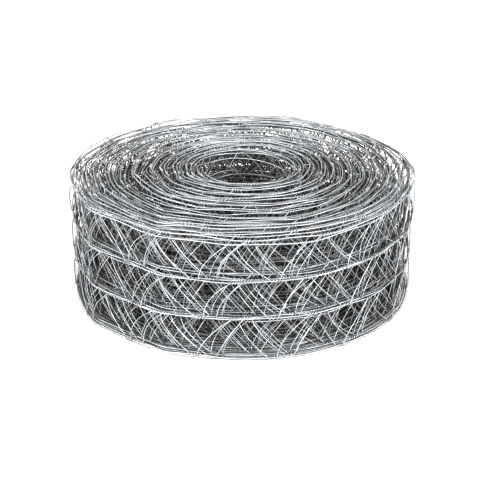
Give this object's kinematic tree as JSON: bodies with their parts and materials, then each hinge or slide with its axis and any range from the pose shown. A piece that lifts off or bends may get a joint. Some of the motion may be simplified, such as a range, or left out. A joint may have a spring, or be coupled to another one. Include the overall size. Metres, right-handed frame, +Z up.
{
  "type": "roll of brickwork reinforcement mesh",
  "caption": "Roll of woven galvanised wire strip, main wires tied by zigzag binding wires, wound round an open bore; it is laid in mortar joints to reinforce brickwork.",
  "frame": {"origin": "centre of the lower end, at the level of the floor that the roll stands on", "axes": "+Z up along the roll's axis; X and Y lie across the roll, -Y towards the side seen in front"},
  "size_m": [0.326, 0.326, 0.115],
  "materials": {
    "galvanised_wire": "galvanised"
  },
  "bodies": {
    "root": {"mesh_roll": "galvanised_wire"}
  },
  "joints": []
}
